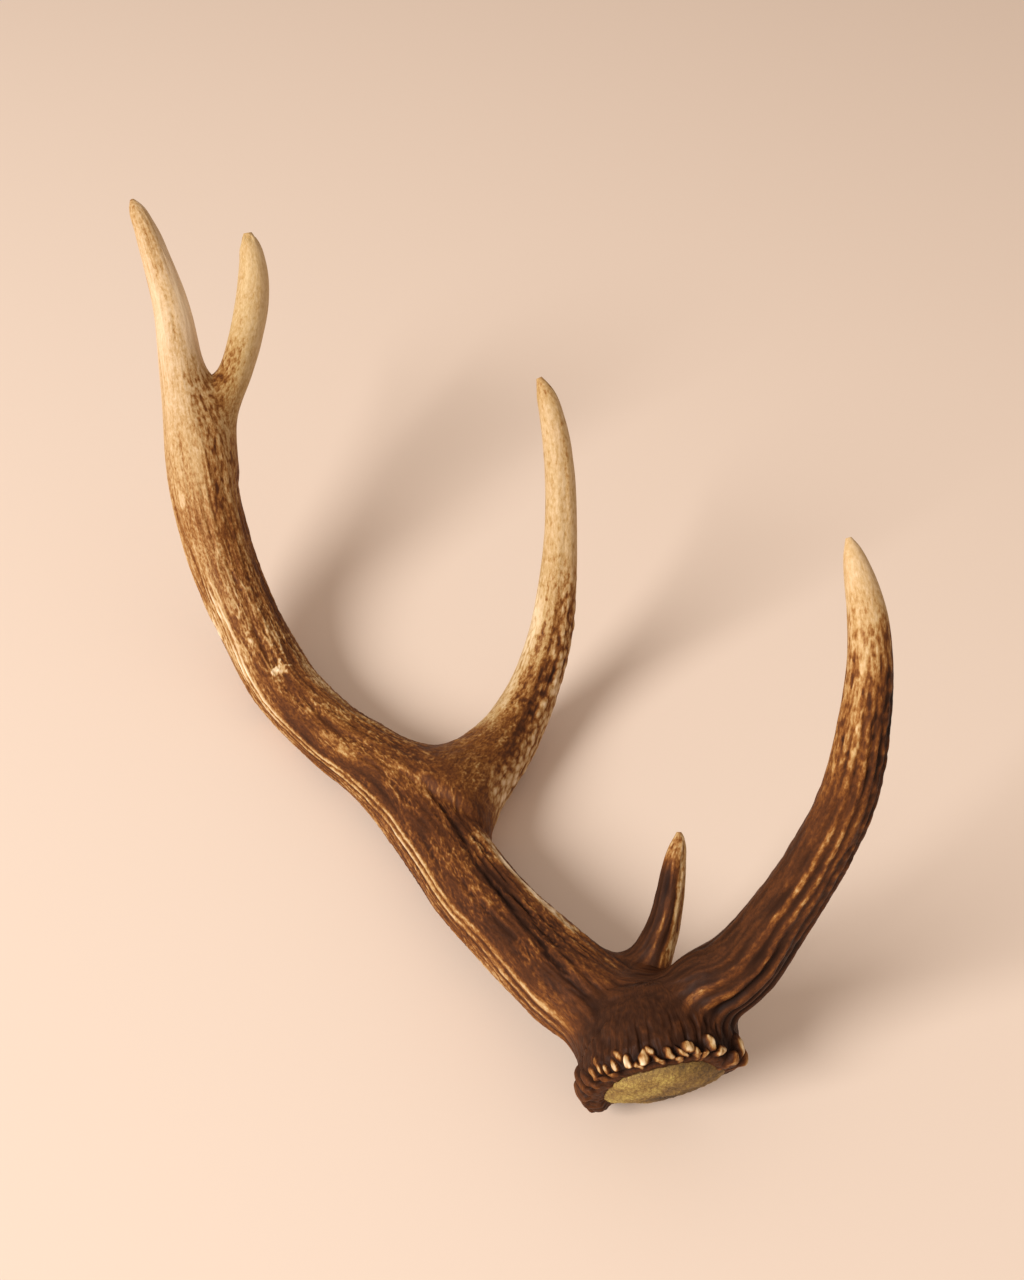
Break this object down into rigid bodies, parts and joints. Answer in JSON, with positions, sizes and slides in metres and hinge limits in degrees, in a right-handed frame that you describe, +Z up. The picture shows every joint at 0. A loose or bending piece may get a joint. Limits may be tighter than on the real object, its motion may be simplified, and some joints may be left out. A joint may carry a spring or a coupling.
{
  "type": "deer antler",
  "caption": "Shed deer antler lying on its side: a curved ridged beam with a beaded burr and a convex seal at its foot, brow, bez and trez tines and a forked crown.",
  "frame": {"origin": "centre of the outline seen from above, on the surface the antler lies on", "axes": "+Z up from that surface, +Y along the antler from the burr end towards the crown, +X towards the side where the brow tine stands"},
  "size_m": [0.2871, 0.3678, 0.2098],
  "materials": {
    "dark_ridged_bone": "satin, dark brown furrows between worn golden ridges",
    "brow_bone": "satin, very dark brown below, ivory at the tip",
    "bez_bone": "satin, speckled brown and cream",
    "trez_bone": "satin, yellow ivory with a brown beaded outer side",
    "cream_bone": "satin, cream with faint grey streaks",
    "golden_bone": "satin, golden tan with brown mottling at the crotch"
  },
  "bodies": {
    "root": {"beam": "dark_ridged_bone", "brow_tine": "brow_bone", "bez_tine": "bez_bone", "trez_tine": "trez_bone", "crown_outer_tine": "cream_bone", "crown_inner_tine": "golden_bone"}
  },
  "joints": []
}
